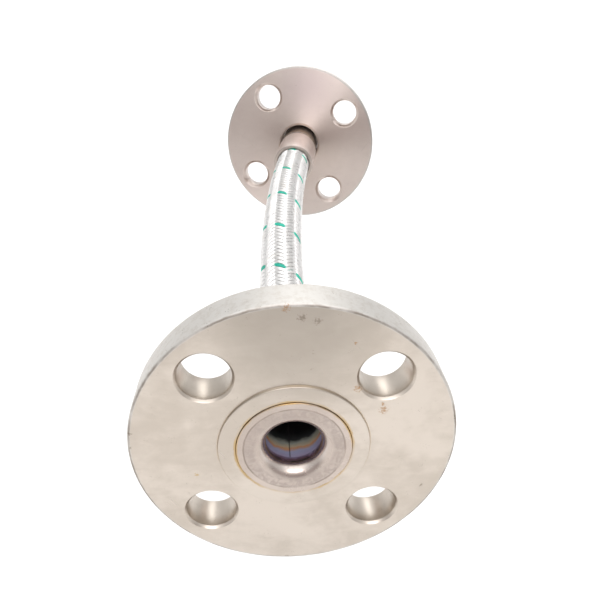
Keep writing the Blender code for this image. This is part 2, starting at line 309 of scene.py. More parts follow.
def make_handling():
    """What handling leaves on pickled steel: a cloudy tone, crossing scratches and small pits."""
    group, given, out = new_effect(
        "handling",
        [("Place", "Vector", None)],
        [("Clouds", "Float"), ("Scratches", "Float"), ("Pits", "Float")],
    )
    broad = noise_of(group, given["Place"], 26.0, 3.0, 0.55, 0.6)
    grain = noise_of(group, given["Place"], 240.0, 4.0, 0.6)
    smears = add_node(
        group, "ShaderNodeMapping",
        {"Vector": given["Place"], "Rotation": (0, 0, 0.6), "Scale": (1, 2.2, 1)},
    ).outputs[0]
    smears = noise_of(group, smears, 90.0, 4.0, 0.62, 0.8)
    clouds = calculate(group, "MULTIPLY", broad, 0.62)
    clouds = calculate(group, "MULTIPLY_ADD", grain, 0.16, clouds)
    group.links.new(calculate(group, "MULTIPLY_ADD", smears, 0.22, clouds), out["Clouds"])
    crossings = []
    for lean, stretch, density in ((0.5, 46.0, 7.0), (-0.9, 62.0, 9.0), (2.2, 34.0, 6.0)):
        turned = add_node(
            group, "ShaderNodeMapping", {"Vector": given["Place"], "Rotation": (0, 0, lean)}
        ).outputs[0]
        drawn = add_node(
            group, "ShaderNodeMapping", {"Vector": turned, "Scale": (density, density * stretch, density)}
        ).outputs[0]
        crossings.append(rescale(group, noise_of(group, drawn, 9.0, 2.0, 0.55), 0.66, 0.76))
    scratches = calculate(group, "MAXIMUM", crossings[1], crossings[2])
    scratches = calculate(group, "MAXIMUM", crossings[0], scratches)
    patches = rescale(group, noise_of(group, given["Place"], 70.0, 2.0), 0.40, 0.65)
    group.links.new(calculate(group, "MULTIPLY", scratches, patches), out["Scratches"])
    cells = add_node(
        group, "ShaderNodeTexVoronoi", {"Vector": given["Place"], "Scale": 1500.0, "Randomness": 1.0}
    ).outputs["Distance"]
    dots = rescale(group, cells, 0.05, 0.30, 1.0, 0.0)
    thin = rescale(group, noise_of(group, given["Place"], 300.0, 2.0), 0.58, 0.68)
    group.links.new(calculate(group, "MULTIPLY", dots, thin), out["Pits"])
    return group


def make_ring_stain():
    """A ring round the axis, broken up along its length: brown water stain that creeps out of a round
    joint, and on the near flange's front chamfer painted shade.
    """
    group, given, out = new_effect(
        "ring_stain",
        [("Place", "Vector", None), ("Radius", "Float", 0.017), ("Width", "Float", 0.0006)],
        [("Mask", "Float")],
    )
    radius = distance_from_axis(group, given["Place"])
    ragged = calculate(group, "SUBTRACT", noise_of(group, given["Place"], 420.0, 3.0), 0.5)
    wandering = calculate(group, "MULTIPLY_ADD", ragged, given["Width"], radius)
    off = calculate(group, "ABSOLUTE", calculate(group, "SUBTRACT", wandering, given["Radius"]))
    share = calculate(group, "DIVIDE", off, given["Width"])
    near = rescale(group, share, 0.25, 1.0, 1.0, 0.0)
    patches = rescale(group, noise_of(group, given["Place"], 90.0, 3.0), 0.36, 0.6, 0.25, 1.0)
    group.links.new(calculate(group, "MULTIPLY", near, patches), out["Mask"])
    return group


def make_spot_stain():
    """A small ragged spot of rust or dirt at one place, broken into specks."""
    group, given, out = new_effect(
        "spot_stain",
        [("Place", "Vector", None), ("Middle", "Vector", None), ("Size", "Float", 0.002)],
        [("Mask", "Float")],
    )
    away = distance_between(group, given["Place"], given["Middle"])
    share = calculate(group, "DIVIDE", away, given["Size"])
    ragged = noise_of(group, given["Place"], 1500.0, 3.0, 0.7)
    share = calculate(group, "MULTIPLY_ADD", ragged, 3.4, share)
    group.links.new(rescale(group, share, 1.7, 2.5, 1.0, 0.0), out["Mask"])
    return group


LATHE_MARKS = make_lathe_marks()
HANDLING = make_handling()
RING_STAIN = make_ring_stain()
SPOT_STAIN = make_spot_stain()


def steel_bench(name, place):
    """A metal material, and the place of each of its points on the bench."""
    material = bpy.data.materials.new(name)
    material.use_nodes = True
    tree = material.node_tree
    shader = tree.nodes["Principled BSDF"]
    shader.inputs["Metallic"].default_value = 1.0
    spot, turn, _ = place.decompose()
    there = add_node(tree, "ShaderNodeTexCoord").outputs["Object"]
    on_bench = add_node(
        tree, "ShaderNodeMapping",
        {"Vector": there, "Location": spot, "Rotation": turn.to_euler("XYZ")}, vector_type="TEXTURE",
    ).outputs[0]
    return material, tree, shader, on_bench


def grain_from_axis(tree, shader, place, strength):
    """Rings left by turning spread a reflection out from the axis."""
    there = add_node(tree, "ShaderNodeTexCoord").outputs["Object"]
    spoke = add_node(
        tree, "ShaderNodeVectorMath", {0: there, 1: place.to_translation()}, operation="SUBTRACT"
    ).outputs[0]
    turned = add_node(
        tree, "ShaderNodeVectorTransform", {"Vector": spoke}, vector_type="VECTOR",
        convert_from="OBJECT", convert_to="WORLD",
    ).outputs[0]
    tree.links.new(add_node(tree, "ShaderNodeVectorMath", {0: turned}, operation="NORMALIZE").outputs[0],
                   shader.inputs["Tangent"])
    shader.inputs["Anisotropic"].default_value = strength


def bumped(tree, height, depth, distance):
    return add_node(
        tree, "ShaderNodeBump", {"Height": height, "Strength": depth, "Distance": distance}
    ).outputs[0]


SCRATCH_TONE = (0.36, 0.32, 0.28, 1)
PIT_TONE = (0.14, 0.11, 0.08, 1)
RIM_PALE = (0.665, 0.65, 0.625, 1)
RIM_DARK = (0.60, 0.575, 0.54, 1)


def flange_steel(name, place, pale, dark, sheen, grain, stains, spots, dull):
    """Turned steel, with stains round the axis, spots of rust and dirt, one ring of painted shade on the
    near flange's front chamfer, and one broad patch of painted reflection: a darker tone near the top of
    the face.
    """
    material, tree, shader, on_bench = steel_bench(name, place)
    wear = use_effect(tree, HANDLING, place=on_bench)
    rings = use_effect(tree, LATHE_MARKS, place=on_bench, pitch=0.0003)["Height"]
    radius = distance_from_axis(tree, on_bench)
    rim = rescale(tree, radius, FLANGE_RADIUS - 1.1 * MM, FLANGE_RADIUS - 0.6 * MM)
    colour = mix_colours(tree, rescale(tree, wear["Clouds"], 0.40, 0.60), dark, pale)
    scratched = calculate(tree, "MULTIPLY", wear["Scratches"], 0.22)
    colour = mix_colours(tree, scratched, colour, SCRATCH_TONE)
    # Painted reflection: a broad patch of darker tone near the top of the face, standing in for the darker
    # surroundings that the steel reflects there.
    x, y, reach, tone = dull
    away = distance_between(tree, on_bench, (x * MM, y * MM, 0))
    patch = rescale(tree, away, 0.2 * reach * MM, reach * MM, 0.75, 0.0)
    colour = mix_colours(tree, patch, colour, tone)
    grime = rescale(tree, noise_of(tree, on_bench, 560.0, 5.0, 0.7), 0.44, 0.66)
    rim_tone = mix_colours(tree, grime, RIM_PALE, RIM_DARK)
    colour = mix_colours(tree, calculate(tree, "MULTIPLY", rim, 0.85), colour, rim_tone)
    pitted = calculate(tree, "MULTIPLY", wear["Pits"], calculate(tree, "MULTIPLY_ADD", rim, 0.6, 0.25))
    colour = mix_colours(tree, pitted, colour, PIT_TONE)
    # Rings of brown stain; on the near flange one ring is painted shade on the front chamfer.
    for radius, width, amount, brown in stains:
        mask = use_effect(tree, RING_STAIN, place=on_bench, radius=radius, width=width)["Mask"]
        colour = mix_colours(tree, calculate(tree, "MULTIPLY", mask, amount), colour, brown)
    for x, y, size, brown in spots:
        middle = (x * MM, y * MM, 0)
        mask = use_effect(tree, SPOT_STAIN, place=on_bench, middle=middle, size=size * MM)["Mask"]
        colour = mix_colours(tree, calculate(tree, "MULTIPLY", mask, 0.7), colour, brown)
    tree.links.new(colour, shader.inputs["Base Color"])
    rough = calculate(tree, "MULTIPLY_ADD", wear["Clouds"], 0.22, sheen)
    rough = calculate(tree, "MULTIPLY_ADD", wear["Scratches"], -0.10, rough)
    rough = calculate(tree, "MULTIPLY_ADD", rim, 0.20, rough)
    tree.links.new(calculate(tree, "MULTIPLY_ADD", wear["Pits"], 0.3, rough), shader.inputs["Roughness"])
    depth = add_node(tree, "ShaderNodeSeparateXYZ", {0: on_bench}).outputs["Z"]
    steps = calculate(tree, "MULTIPLY", depth, 2600.0)
    tool = add_node(
        tree, "ShaderNodeTexNoise", {"W": steps, "Scale": 1.0, "Detail": 2.0}, noise_dimensions="1D"
    ).outputs["Fac"]
    rings = calculate(tree, "MULTIPLY", rings, grain)
    height = calculate(tree, "MULTIPLY_ADD", wear["Scratches"], -0.6, rings)
    height = calculate(tree, "MULTIPLY_ADD", tool, 0.9, height)
    height = calculate(tree, "MULTIPLY_ADD", wear["Clouds"], 0.5, height)
    height = calculate(tree, "MULTIPLY_ADD", wear["Pits"], -1.0, height)
    tree.links.new(bumped(tree, height, 0.30, 0.00006), shader.inputs["Normal"])
    grain_from_axis(tree, shader, place, grain)
    return material


RUST = (0.33, 0.17, 0.06, 1)
OCHRE = (0.46, 0.32, 0.14, 1)
DIRT = (0.19, 0.155, 0.12, 1)
near_flange.data.materials.append(
    flange_steel(
        "near_flange_steel", NEAR_PLACE, (0.60, 0.54, 0.475, 1), (0.49, 0.435, 0.375, 1), 0.24, 0.15,
        [(17.0 * MM, 0.8 * MM, 0.85, OCHRE), (22.2 * MM, 0.30 * MM, 0.30, OCHRE),
         # Painted shade: the dark ring at 47 mm on the front chamfer darkens the chamfer's bright
         # reflection.
         (47.0 * MM, 0.45 * MM, 0.75, DIRT)],
        [(-17.7, 20.2, 1.7, RUST), (-25.4, 12.3, 1.9, RUST), (-25.0, 14.4, 0.9, RUST),
         (1.6, 46.5, 1.5, RUST), (-16.6, 35.1, 0.7, RUST), (-2.4, 43.4, 1.6, DIRT), (-6.4, 42.2, 1.5, DIRT),
         (45.9, 7.6, 0.9, DIRT), (46.6, 2.5, 0.9, DIRT), (2.9, -46.7, 1.0, DIRT),
         (-38.7, -17.6, 0.9, DIRT), (28.8, -9.0, 1.2, OCHRE)],
        # Painted reflection: a darker patch near the top of the face.
        (0, 38, 30, (0.36, 0.32, 0.275, 1)),
    )
)
far_flange.data.materials.append(
    flange_steel(
        "far_flange_steel", FAR_FLANGE_PLACE, (0.77, 0.685, 0.635, 1), (0.72, 0.635, 0.585, 1), 0.36, 0.95,
        # The last entry is painted reflection: a darker, pinker patch near the top of the face.
        [(12.9 * MM, 0.8 * MM, 0.4, RUST)], (), (4, 36, 30, (0.50, 0.42, 0.42, 1)),
    )
)

# ---------------------------------------------------------------------------------------------------------
# Lapped collar at each pipe's mouth. The pipe is fused into the collar and the bead is dressed round, so
# the face runs on into a rolled lip; a band of it is left rough from the grinder.
COLLAR_RADIUS = 16.8 * MM
PIPE_RADIUS = 10.85 * MM
PIPE_BORE = 8.75 * MM
WELD_BORE = 8.2 * MM
LIP = 4.4 * MM
LIP_END = COLLAR_FRONT + LIP
LIP_RUN_OUT = 2.0 * MM
GROUND_EDGE = 14.9 * MM
GROUND_FOOT = 14.5 * MM
COLLAR_EDGE = 0.25 * MM
COLLAR_SIDES = 160
HEAT_TINT_DEPTH = 16 * MM


def turn_collar():
    back = COLLAR_FRONT + COLLAR_THICKNESS
    outline = [
        (PIPE_RADIUS, back),
        (COLLAR_RADIUS - 0.3 * MM, back),
        (COLLAR_RADIUS, back - 0.3 * MM),
        *arc(COLLAR_RADIUS - COLLAR_EDGE, COLLAR_FRONT + COLLAR_EDGE, COLLAR_EDGE, 0, -90, 6),
        (GROUND_EDGE, COLLAR_FRONT - 0.02 * MM),
        (GROUND_FOOT, COLLAR_FRONT + 0.04 * MM),
        *arc(WELD_BORE + LIP, COLLAR_FRONT + LIP, LIP, -90, -180, 20),
        (WELD_BORE + 0.1 * MM, LIP_END + 0.5 * MM),
        (PIPE_BORE - 0.1 * MM, LIP_END + 1.6 * MM),
        (PIPE_BORE, LIP_END + LIP_RUN_OUT),
        (PIPE_RADIUS, LIP_END + LIP_RUN_OUT),
    ]
    return lathe(outline, COLLAR_SIDES)


def make_heat_tint():
    """Colours inside a welded pipe's mouth, by the depth from the gasket face: bare steel at the lip, then
    the heat colours purple, blue, a straw line and grey, then near black deeper in."""
    group, given, out = new_effect(
        "heat_tint", [("Place", "Vector", None)], [("Color", "Color"), ("Film", "Float")]
    )
    along = add_node(group, "ShaderNodeSeparateXYZ", {0: given["Place"]}).outputs
    ragged = calculate(group, "SUBTRACT", noise_of(group, given["Place"], 260.0, 4.0, 0.6), 0.5)
    depth = calculate(group, "MULTIPLY_ADD", ragged, 0.003, along["Z"])
    share = calculate(group, "DIVIDE", depth, HEAT_TINT_DEPTH, clamp=True)
    ramp = add_node(group, "ShaderNodeValToRGB", {"Fac": share})
    bands = ramp.color_ramp
    bands.elements[0].position, bands.elements[0].color = 0.10, (0.55, 0.49, 0.45, 1)
    bands.elements[1].position, bands.elements[1].color = 1.0, (0.010, 0.010, 0.011, 1)
    for position, colour in (
        (0.17, (0.42, 0.30, 0.30, 1)), (0.235, (0.26, 0.14, 0.20, 1)), (0.34, (0.42, 0.38, 0.56, 1)),
        (0.47, (0.50, 0.53, 0.74, 1)), (0.545, (0.80, 0.42, 0.20, 1)), (0.60, (0.72, 0.62, 0.44, 1)),
        (0.70, (0.46, 0.49, 0.42, 1)), (0.80, (0.04, 0.045, 0.045, 1)),
    ):
        bands.elements.new(position).color = colour
    group.links.new(ramp.outputs["Color"], out["Color"])
    group.links.new(rescale(group, share, 0.14, 0.30), out["Film"])
    return group


HEAT_TINT = make_heat_tint()


def collar_steel(name, place):
    material, tree, shader, on_bench = steel_bench(name, place)
    wear = use_effect(tree, HANDLING, place=on_bench)
    radius = distance_from_axis(tree, on_bench)
    ground = calculate(
        tree, "MULTIPLY",
        rescale(tree, radius, 10.8 * MM, 12.2 * MM), rescale(tree, radius, 14.4 * MM, 14.8 * MM, 1.0, 0.0),
    )
    swirl = use_effect(tree, LATHE_MARKS, place=on_bench, pitch=0.00035)["Height"]
    mottle = noise_of(tree, on_bench, 520.0, 3.0, 0.65, 1.2)
    clouds = rescale(tree, wear["Clouds"], 0.40, 0.60)
    colour = mix_colours(tree, clouds, (0.44, 0.375, 0.33, 1), (0.53, 0.46, 0.41, 1))
    rough_patches = calculate(tree, "MULTIPLY", ground, rescale(tree, mottle, 0.35, 0.65, 0.15, 0.8))
    colour = mix_colours(tree, rough_patches, colour, (0.37, 0.315, 0.285, 1))
    edge = use_effect(tree, RING_STAIN, place=on_bench, radius=14.75 * MM, width=0.35 * MM)["Mask"]
    colour = mix_colours(tree, calculate(tree, "MULTIPLY", edge, 0.8), colour, (0.24, 0.20, 0.17, 1))
    joint = use_effect(tree, RING_STAIN, place=on_bench, radius=16.9 * MM, width=0.6 * MM)["Mask"]
    colour = mix_colours(tree, calculate(tree, "MULTIPLY", joint, 0.9), colour, OCHRE)
    tint = use_effect(tree, HEAT_TINT, place=on_bench)
    inside = rescale(tree, radius, 9.2 * MM, 10.2 * MM, 1.0, 0.0)
    colour = mix_colours(tree, inside, colour, tint["Color"])
    tree.links.new(colour, shader.inputs["Base Color"])
    film = calculate(tree, "MULTIPLY", tint["Film"], inside)
    tree.links.new(calculate(tree, "MULTIPLY_ADD", film, -0.6, 1.0), shader.inputs["Metallic"])
    rough = calculate(tree, "MULTIPLY_ADD", ground, 0.14, 0.22)
    tree.links.new(calculate(tree, "MULTIPLY_ADD", wear["Clouds"], 0.10, rough), shader.inputs["Roughness"])
    height = calculate(tree, "MULTIPLY", calculate(tree, "MULTIPLY_ADD", mottle, 1.5, swirl), ground)
    height = calculate(tree, "MULTIPLY_ADD", wear["Scratches"], -0.5, height)
    tree.links.new(bumped(tree, height, 0.5, 0.0001), shader.inputs["Normal"])
    return material


for end, place, body in (("near", NEAR_PLACE, "near_end"), ("far", FAR_STUB_PLACE, "far_end")):
    collar = turn_collar()
    smooth(collar, 40)
    set_down(collar, end + "_collar_lapped", place, body, end + "_lap_collar")
    collar.data.materials.append(collar_steel(end + "_collar_steel", place))

# ---------------------------------------------------------------------------------------------------------
# Pipe between collar and hose, drawn stainless with its long seam showing inside, and the two welds: a
# fillet behind the collar, and a bead round the joint of pipe, hose, braid and ferrule.
PIPE_END = 24 * MM
PIPE_SIDES = 96
SEAM_OFFSET = 1.1 * MM
FILLET = 1.4 * MM
WELD_LENGTH = 3.6 * MM
WELD_BEAD_ROWS = 9
WELD_BEAD_SIDES = 144
RIPPLE = 0.10 * MM
FERRULE_RADIUS = 11.5 * MM


def draw_pipe():
    start = LIP_END + LIP_RUN_OUT
    outline = [(PIPE_BORE, start), (PIPE_RADIUS, start), (PIPE_RADIUS, PIPE_END), (PIPE_BORE, PIPE_END)]
    return lathe(outline, PIPE_SIDES)


def pipe_steel(name, place):
    material, tree, shader, on_bench = steel_bench(name, place)
    wear = use_effect(tree, HANDLING, place=on_bench)
    parts = add_node(tree, "ShaderNodeSeparateXYZ", {0: on_bench}).outputs
    clouds = rescale(tree, wear["Clouds"], 0.40, 0.60)
    colour = mix_colours(tree, clouds, (0.44, 0.39, 0.35, 1), (0.54, 0.49, 0.45, 1))
    weld_heat = rescale(tree, parts["Z"], 17 * MM, PIPE_END)
    colour = mix_colours(tree, calculate(tree, "MULTIPLY", weld_heat, 0.6), colour, (0.36, 0.25, 0.13, 1))
    tint = use_effect(tree, HEAT_TINT, place=on_bench)
    inside = rescale(tree, distance_from_axis(tree, on_bench), 9.4 * MM, 10.0 * MM, 1.0, 0.0)
    seam_off = calculate(tree, "ABSOLUTE", calculate(tree, "SUBTRACT", parts["X"], SEAM_OFFSET))
    seam = calculate(tree, "MULTIPLY", rescale(tree, seam_off, 0.08 * MM, 0.3 * MM, 1.0, 0.0),
                     calculate(tree, "LESS_THAN", parts["Y"], 0.0))
    seam_line = calculate(tree, "MULTIPLY", seam, 0.75)
    tinted = mix_colours(tree, seam_line, tint["Color"], (0.03, 0.025, 0.03, 1))
    tree.links.new(mix_colours(tree, inside, colour, tinted), shader.inputs["Base Color"])
    rough = calculate(tree, "MULTIPLY_ADD", wear["Clouds"], 0.2, 0.22)
    film = calculate(tree, "MULTIPLY", tint["Film"], inside)
    tree.links.new(calculate(tree, "MULTIPLY_ADD", film, 0.15, rough), shader.inputs["Roughness"])
    tree.links.new(calculate(tree, "MULTIPLY_ADD", film, -0.6, 1.0), shader.inputs["Metallic"])
    seam_ridge = calculate(tree, "MULTIPLY", seam, 1.5)
    height = calculate(tree, "MULTIPLY_ADD", wear["Scratches"], -0.4, seam_ridge)
    tree.links.new(bumped(tree, height, 0.4, 0.0001), shader.inputs["Normal"])
    return material


def weld_metal(name, place, start, length):
    """Bead metal, brushed clean, with straw and blue heat colours left at its two edges."""
    material, tree, shader, on_bench = steel_bench(name, place)
    along = add_node(tree, "ShaderNodeSeparateXYZ", {0: on_bench}).outputs["Z"]
    ragged = calculate(tree, "SUBTRACT", noise_of(tree, on_bench, 500.0, 3.0), 0.5)
    share = rescale(tree, calculate(tree, "MULTIPLY_ADD", ragged, 0.001, along), start, start + length)
    edges = rescale(tree, calculate(tree, "ABSOLUTE", calculate(tree, "SUBTRACT", share, 0.5)), 0.22, 0.5)
    tone = noise_of(tree, on_bench, 340.0, 4.0, 0.6)
    brushed = rescale(tree, tone, 0.35, 0.65)
    colour = mix_colours(tree, brushed, (0.30, 0.27, 0.26, 1), (0.50, 0.47, 0.45, 1))
    heat = mix_colours(tree, rescale(tree, tone, 0.42, 0.56), (0.16, 0.17, 0.26, 1), (0.38, 0.26, 0.12, 1))
    colour = mix_colours(tree, calculate(tree, "MULTIPLY", edges, 0.8), colour, heat)
    tree.links.new(colour, shader.inputs["Base Color"])
    tree.links.new(rescale(tree, tone, 0.3, 0.7, 0.26, 0.42), shader.inputs["Roughness"])
    tree.links.new(bumped(tree, tone, 0.3, 0.0002), shader.inputs["Normal"])
    return material


def lay_bead(inner, radius_of, start, end, ripples):
    """A ring of weld metal whose surface steps along in ripples round the joint."""
    outline = [(inner, start)]
    for row in range(WELD_BEAD_ROWS):
        share = row / (WELD_BEAD_ROWS - 1)
        outline.append((radius_of(share), start + (end - start) * share))
    outline.append((inner, end))
    bead = lathe(outline, WELD_BEAD_SIDES)
    for corner in bead.data.vertices:
        radius = math.hypot(corner.co.x, corner.co.y)
        if radius > inner + 0.2 * MM:
            share = (corner.co.z - start) / (end - start)
            angle = math.atan2(corner.co.y, corner.co.x)
            bow = 0.35 * math.sin(math.pi * share)
            ripple = math.sin(math.pi * share) * RIPPLE * math.sin(ripples * angle + bow * 6)
            corner.co.x += ripple * math.cos(angle)
            corner.co.y += ripple * math.sin(angle)
    return bead


for end, place, body in (("near", NEAR_PLACE, "near_end"), ("far", FAR_STUB_PLACE, "far_end")):
    pipe = draw_pipe()
    smooth(pipe, 40)
    set_down(pipe, end + "_pipe_drawn", place, body, end + "_pipe")
    pipe.data.materials.append(pipe_steel(end + "_pipe_steel", place))
    fillet_start = COLLAR_FRONT + COLLAR_THICKNESS
    fillet = lay_bead(
        PIPE_RADIUS, lambda share: PIPE_RADIUS + 1.25 * MM * (1 - share) ** 0.7 + 0.02 * MM,
        fillet_start, fillet_start + FILLET, 44,
    )
    smooth(fillet, 60)
    set_down(fillet, end + "_collar_bead", place, body, end + "_collar_weld")
    fillet.data.materials.append(weld_metal(end + "_fillet_metal", place, fillet_start, FILLET))
    bead = lay_bead(
        PIPE_BORE, lambda share: PIPE_RADIUS + (FERRULE_RADIUS - PIPE_RADIUS - 0.3 * MM) * share
        + 0.35 * MM * math.sin(math.pi * share), PIPE_END, PIPE_END + WELD_LENGTH, 40,
    )
    smooth(bead, 60)
    set_down(bead, end + "_hose_bead", place, body, end + "_hose_weld")
    bead.data.materials.append(weld_metal(end + "_bead_metal", place, PIPE_END, WELD_LENGTH))

# ---------------------------------------------------------------------------------------------------------
# Ferrule: a plain stainless sleeve pressed down over the end of the braid, rounded at its mouth.
FERRULE_START = PIPE_END + WELD_LENGTH
FERRULE_MOUTH = 56 * MM
FERRULE_SIDES = 112
BRAID_RADIUS = 9.4 * MM


def press_ferrule():
    inner = BRAID_RADIUS + 0.1 * MM
    outline = [
        (inner, FERRULE_START),
        *arc(FERRULE_RADIUS - 0.5 * MM, FERRULE_START + 0.5 * MM, 0.5 * MM, -90, 0, 4),
        *arc(FERRULE_RADIUS - 0.6 * MM, FERRULE_MOUTH - 0.6 * MM, 0.6 * MM, 0, 90, 5),
        *arc(inner + 0.35 * MM, FERRULE_MOUTH - 0.35 * MM, 0.35 * MM, 90, 180, 4),
    ]
    return lathe(outline, FERRULE_SIDES)


def ferrule_steel(name, place):
    material, tree, shader, on_bench = steel_bench(name, place)
    wear = use_effect(tree, HANDLING, place=on_bench)
    parts = add_node(tree, "ShaderNodeSeparateXYZ", {0: on_bench}).outputs
    clouds = rescale(tree, wear["Clouds"], 0.40, 0.60)
    colour = mix_colours(tree, clouds, (0.75, 0.67, 0.62, 1), (0.85, 0.77, 0.73, 1))
    colour = mix_colours(tree, calculate(tree, "MULTIPLY", wear["Pits"], 0.5), colour, DIRT)
    weld_heat = rescale(tree, parts["Z"], FERRULE_START, FERRULE_START + 3 * MM, 1.0, 0.0)
    colour = mix_colours(tree, calculate(tree, "MULTIPLY", weld_heat, 0.6), colour, (0.34, 0.24, 0.13, 1))
    mouth = rescale(tree, parts["Z"], FERRULE_MOUTH - 0.7 * MM, FERRULE_MOUTH - 0.2 * MM)
    colour = mix_colours(tree, calculate(tree, "MULTIPLY", mouth, 0.65), colour, (0.22, 0.18, 0.15, 1))
    tree.links.new(colour, shader.inputs["Base Color"])
    tree.links.new(calculate(tree, "MULTIPLY_ADD", wear["Clouds"], 0.16, 0.29), shader.inputs["Roughness"])
    squeezes = calculate(tree, "MULTIPLY", parts["Z"], 300.0)
    dies = add_node(
        tree, "ShaderNodeTexNoise", {"W": squeezes, "Scale": 1.0}, noise_dimensions="1D"
    ).outputs["Fac"]
    die_marks = calculate(tree, "MULTIPLY", dies, 1.2)
    height = calculate(tree, "MULTIPLY_ADD", wear["Scratches"], -0.6, die_marks)
    tree.links.new(bumped(tree, height, 0.3, 0.00015), shader.inputs["Normal"])
    return material


for end, place, body in (("near", NEAR_PLACE, "near_end"), ("far", FAR_STUB_PLACE, "far_end")):
    sleeve = press_ferrule()
    smooth(sleeve, 40)
    set_down(sleeve, end + "_ferrule_pressed", place, body, end + "_ferrule")
    sleeve.data.materials.append(ferrule_steel(end + "_ferrule_steel", place))


# ---------------------------------------------------------------------------------------------------------
# Corrugated hose inside the braid, rolled from thin stainless tube and welded in at both ends. It is one
# length on the real thing and is cut here into four stretches, each with one joint in its middle.
CREST = 8.5 * MM
ROOT = 7.1 * MM
HOSE_WALL = 0.3 * MM
FOLD = 3.1 * MM
ROWS_PER_FOLD = 6
HOSE_SIDES = 32

# The hose runs straight out of each ferrule and through a point in its middle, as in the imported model.
MIDDLE = Vector((-8.05 * MM, -10.5 * MM, NEAR_PLACE.to_translation().z - 0.7 * MM))
MIDDLE_SLOPE = Vector((0.05, 1, 0.084)).normalized() * 33 * MM
NEAR_PULL = 33 * MM
FAR_PULL = 30 * MM


def hose_route():
    near_mouth = NEAR_PLACE @ Vector((0, 0, FERRULE_MOUTH))
    near_pull = NEAR_PLACE @ Vector((0, 0, FERRULE_MOUTH + NEAR_PULL))
    far_mouth = FAR_STUB_PLACE @ Vector((0, 0, FERRULE_MOUTH))
    far_pull = FAR_STUB_PLACE @ Vector((0, 0, FERRULE_MOUTH + FAR_PULL))
    points = [NEAR_PLACE @ Vector((0, 0, FERRULE_START))]
    points += interpolate_bezier(near_mouth, near_pull, MIDDLE - MIDDLE_SLOPE, MIDDLE, 160)
    points += interpolate_bezier(MIDDLE, MIDDLE + MIDDLE_SLOPE, far_pull, far_mouth, 160)[1:]
    points.append(FAR_STUB_PLACE @ Vector((0, 0, FERRULE_START)))
    return points


ROUTE = hose_route()
ROUTE_DISTANCES = [0.0]
for before, after in zip(ROUTE, ROUTE[1:]):
    ROUTE_DISTANCES.append(ROUTE_DISTANCES[-1] + (after - before).length)
ROUTE_LENGTH = ROUTE_DISTANCES[-1]


def route_point(distance):
    low, high = 0, len(ROUTE) - 1
    while high - low > 1:
        middle = (low + high) // 2
        if ROUTE_DISTANCES[middle] <= distance:
            low = middle
        else:
            high = middle
    share = (distance - ROUTE_DISTANCES[low]) / (ROUTE_DISTANCES[high] - ROUTE_DISTANCES[low])
    return ROUTE[low].lerp(ROUTE[high], share)


def route_axes(distance):
    """The middle of the hose at a distance along it, and the directions to its side and its top."""
    step = 0.5 * MM
    along = (route_point(distance + step) - route_point(distance - step)).normalized()
    side = along.cross(Vector((0, 0, 1))).normalized()
    return route_point(distance), side, side.cross(along)


FREE_START = FERRULE_MOUTH - FERRULE_START
FREE_LENGTH = ROUTE_LENGTH - 2 * FREE_START
CUTS = [0.0, *[FREE_START + FREE_LENGTH * share / 4 for share in (1, 2, 3)], ROUTE_LENGTH]


def bend_with_hose(piece):
    """Bakes the stretch's placement into its mesh. A stretch meets its neighbours halfway between joints.
    """
    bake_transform(piece)


def roll_hose(stretch):
    start, end = CUTS[stretch], CUTS[stretch + 1]
    folds = round((end - start) / FOLD)
    rows = folds * ROWS_PER_FOLD
    wave = []
    for row in range(rows + 1):
        share = row / rows
        swell = (1 + math.cos(2 * math.pi * folds * share)) / 2
        wave.append((ROOT + (CREST - ROOT) * swell, share))
    outline = wave + [(radius - HOSE_WALL, share) for radius, share in reversed(wave)]
    tube = lathe(outline, HOSE_SIDES)
    for corner in tube.data.vertices:
        middle, side, upward = route_axes(start + (end - start) * corner.co.z)
        corner.co = middle + side * corner.co.x + upward * corner.co.y
    bpy.ops.object.mode_set(mode="EDIT")
    bpy.ops.mesh.select_all(action="SELECT")
    bpy.ops.mesh.normals_make_consistent(inside=False)
    bpy.ops.object.mode_set(mode="OBJECT")
    return tube


def hose_steel():
    """Bright rolled tube, clouded with a thin oxide."""
    material, tree, shader, on_bench = steel_bench("hose_steel", NEAR_PLACE)
    tone = noise_of(tree, on_bench, 150.0, 4.0, 0.6)
    oxide = rescale(tree, tone, 0.35, 0.65)
    colour = mix_colours(tree, oxide, (0.40, 0.37, 0.34, 1), (0.58, 0.55, 0.52, 1))
    tree.links.new(colour, shader.inputs["Base Color"])
    tree.links.new(rescale(tree, tone, 0.3, 0.7, 0.22, 0.40), shader.inputs["Roughness"])
    rolled = noise_of(tree, on_bench, 1300.0, 2.0)
    tree.links.new(bumped(tree, rolled, 0.15, 0.0001), shader.inputs["Normal"])
    return material


rolled_steel = hose_steel()
for stretch in range(4):
    tube = roll_hose(stretch)
    tube.name = f"corrugated_hose_{stretch + 1}"
    tube.data.name = tube.name
    smooth(tube, 60)
    bend_with_hose(tube)
    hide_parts(f"hose_link_{stretch + 1}")
    tube.data.materials.append(rolled_steel)
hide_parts("hose_link_5")

# ---------------------------------------------------------------------------------------------------------
# Wire braid over the hose: 24 carriers, twelve wound each way, two over and two under, each laying five
# bright wires side by side. One carrier runs in green wire as the maker's tracer.
LEAD = 31.6 * MM
LAY_START = 1.36 * MM
CARRIERS = 12
WIRES = 5
WIRE_RADIUS = 0.2 * MM
WIRE_SPACING = 0.43 * MM
BRAID_MIDDLE = BRAID_RADIUS - 2 * WIRE_RADIUS
TRACER = 3
CLOCK = math.radians(-92.5)


